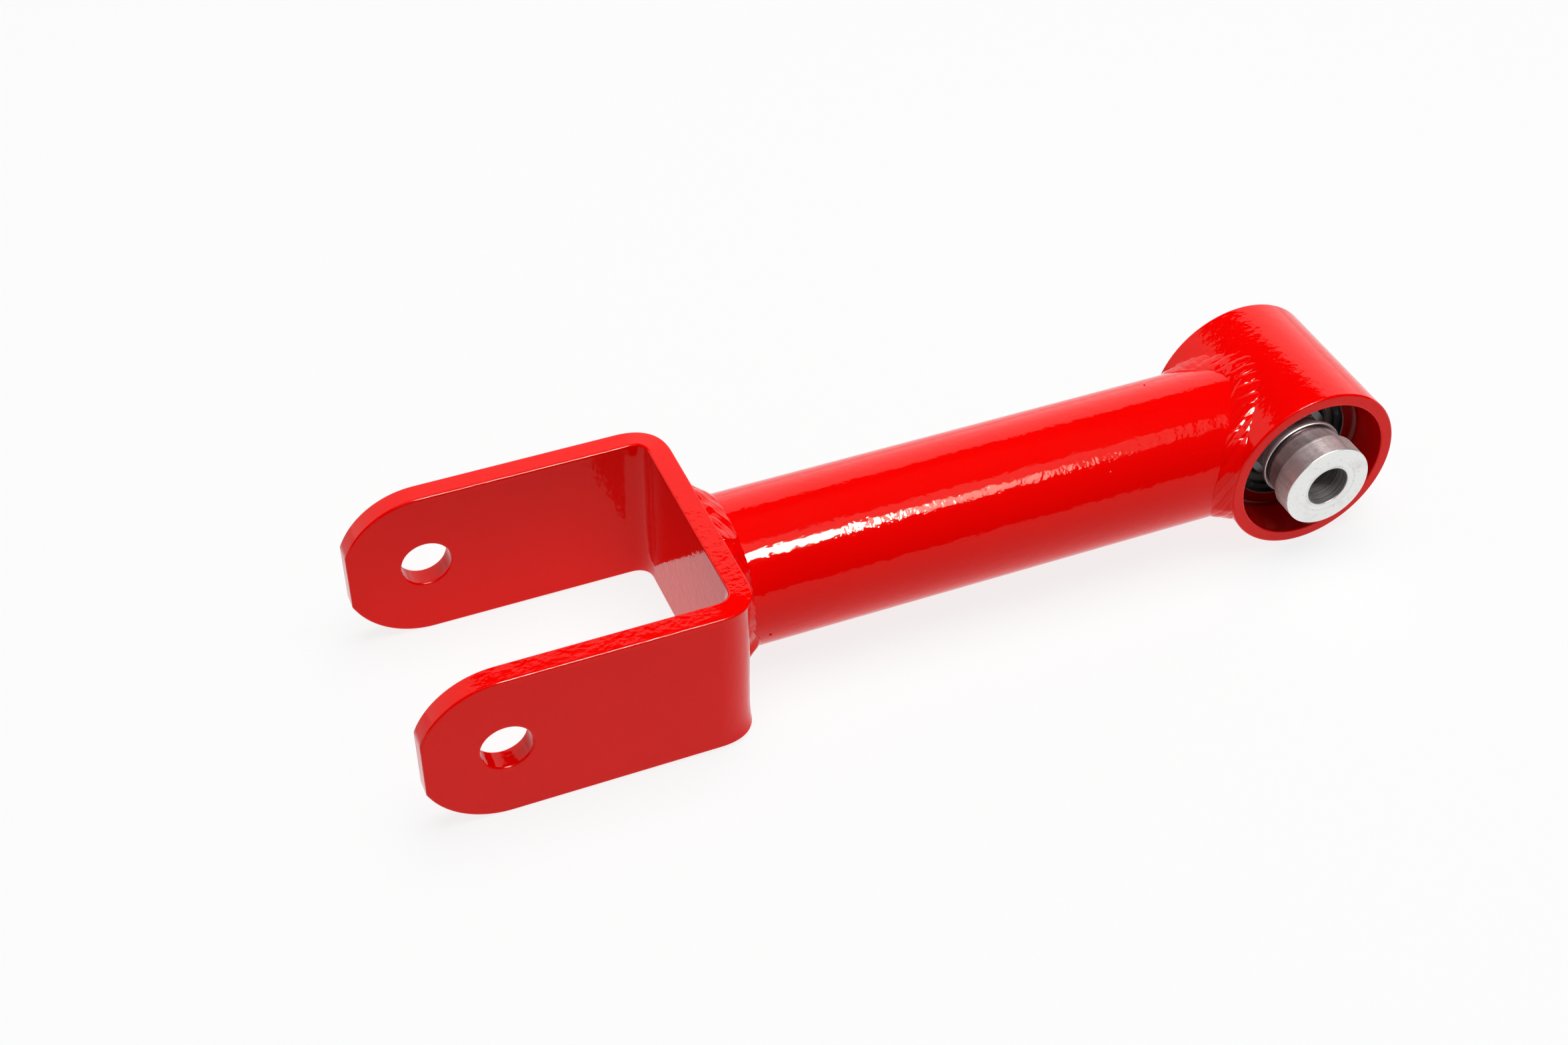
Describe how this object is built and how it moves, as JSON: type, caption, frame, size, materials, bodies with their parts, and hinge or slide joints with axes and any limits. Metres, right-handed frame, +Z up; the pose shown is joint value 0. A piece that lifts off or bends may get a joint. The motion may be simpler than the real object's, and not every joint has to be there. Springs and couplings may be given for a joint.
{
  "type": "suspension control arm",
  "caption": "Straight suspension control arm: a bent-plate clevis welded to a tube, and a cross barrel with a lined spherical bearing and misalignment spacers.",
  "frame": {"origin": "middle of the clevis bolt axis, halfway between the two ears", "axes": "+X along the tube to the bearing, Y along both bolts, +Z up across the height of the clevis plate"},
  "size_m": [0.3012, 0.081, 0.054],
  "materials": {
    "powder_coat": "gloss powder coat",
    "coated_weld": "gloss powder coat over a rippled weld bead",
    "race_steel": "ground",
    "liner": "matt woven liner",
    "ball_chrome": "polished hard chrome",
    "ring_steel": "black oxide",
    "spacer_metal": "fine turned"
  },
  "bodies": {
    "arm": {"clevis_bracket": "powder_coat", "arm_tube": "powder_coat", "bearing_barrel": "powder_coat", "clevis_weld": "coated_weld", "barrel_weld": "coated_weld", "bearing_race": "race_steel", "right_snap_ring": "ring_steel", "left_snap_ring": "ring_steel"},
    "liner": {"race_liner": "liner"},
    "ball": {"bearing_ball": "ball_chrome"},
    "spacers": {"right_spacer": "spacer_metal", "left_spacer": "spacer_metal"}
  },
  "joints": [
    {"name": "bearing_turn", "type": "hinge", "parent": "arm", "child": "liner", "pos_m": [0.252, 0, 0], "axis": [0, 1, 0], "continuous": true},
    {"name": "bearing_tilt", "type": "hinge", "parent": "liner", "child": "ball", "pos_m": [0.252, 0, 0], "axis": [0, 0, 1], "range_deg": [-18, 18]},
    {"name": "spacer_spin", "type": "hinge", "parent": "ball", "child": "spacers", "pos_m": [0.252, 0, 0], "axis": [0, 1, 0], "continuous": true}
  ]
}
